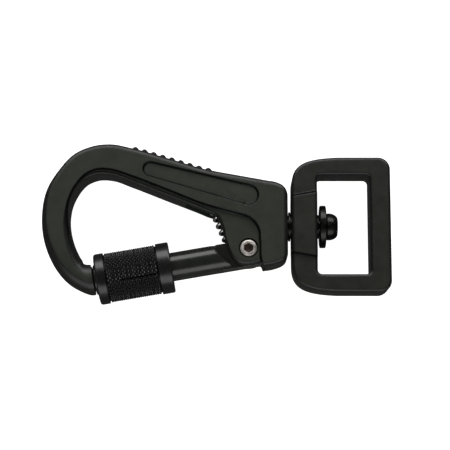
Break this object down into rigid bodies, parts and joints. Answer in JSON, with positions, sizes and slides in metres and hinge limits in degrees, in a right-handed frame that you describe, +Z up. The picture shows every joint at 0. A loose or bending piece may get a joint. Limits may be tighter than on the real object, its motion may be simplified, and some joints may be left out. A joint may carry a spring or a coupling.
{
  "type": "swivel snap shackle",
  "caption": "Swivel snap shackle: a pear-shaped hook with a sprung gate, a knurled screw-lock sleeve and a rectangular webbing eye on a swivel.",
  "frame": {"origin": "on the bench below the middle of the closed hook's outer box; it lies on its back, as stored", "axes": "+X along the hook towards the webbing eye, +Y from the gate towards the spine, +Z up through the thickness"},
  "size_m": [0.098, 0.045, 0.0144],
  "materials": {
    "anodised_hook": "black anodised, satin",
    "anodised_gate": "black anodised, satin, turned",
    "anodised_sleeve": "black anodised, satin, with a fine diamond knurl",
    "anodised_eye": "black anodised, satin",
    "bright_steel": "plain stainless, turned, with dark grease in the socket",
    "spring_steel": "dark spring wire",
    "blackened_steel": "blackened, satin, turned",
    "ring_rubber": "matt"
  },
  "bodies": {
    "hook": {"hook_body": "anodised_hook", "gate_pivot_barrel": "bright_steel", "gate_pivot_screw": "bright_steel", "gate_spring": "spring_steel", "swivel_post": "blackened_steel", "swivel_washer": "blackened_steel"},
    "gate": {"gate": "anodised_gate", "sleeve_stop_ring": "blackened_steel"},
    "sleeve_carrier": {"sleeve_drag_ring": "ring_rubber"},
    "lock_sleeve": {"lock_sleeve": "anodised_sleeve"},
    "webbing_eye": {"webbing_eye": "anodised_eye"}
  },
  "joints": [
    {"name": "gate_hinge", "type": "hinge", "parent": "hook", "child": "gate", "pos_m": [0.00905, -0.0071, 0.0072], "axis": [0, 0, -1], "range_deg": [0, 28], "stiffness_Nm_per_rad": 0.3, "springref_deg": -40.11, "deforming": ["gate_spring"]},
    {"name": "sleeve_slide", "type": "slide", "parent": "gate", "child": "sleeve_carrier", "axis": [0.9854, 0.1702, 0], "range_m": [-0.0025, 0.0075]},
    {"name": "sleeve_spin", "type": "hinge", "parent": "sleeve_carrier", "child": "lock_sleeve", "pos_m": [-0.02304, -0.01371, 0.0072], "axis": [0.9854, 0.1702, 0], "range_deg": [-360, 1080]},
    {"name": "eye_swivel", "type": "hinge", "parent": "hook", "child": "webbing_eye", "pos_m": [0.02475, -0.0004, 0.0072], "axis": [1, 0, 0], "continuous": true}
  ],
  "couplings": [
    {"joint": "sleeve_spin", "follows": "sleeve_slide", "rad_per_m": 2513.3}
  ]
}
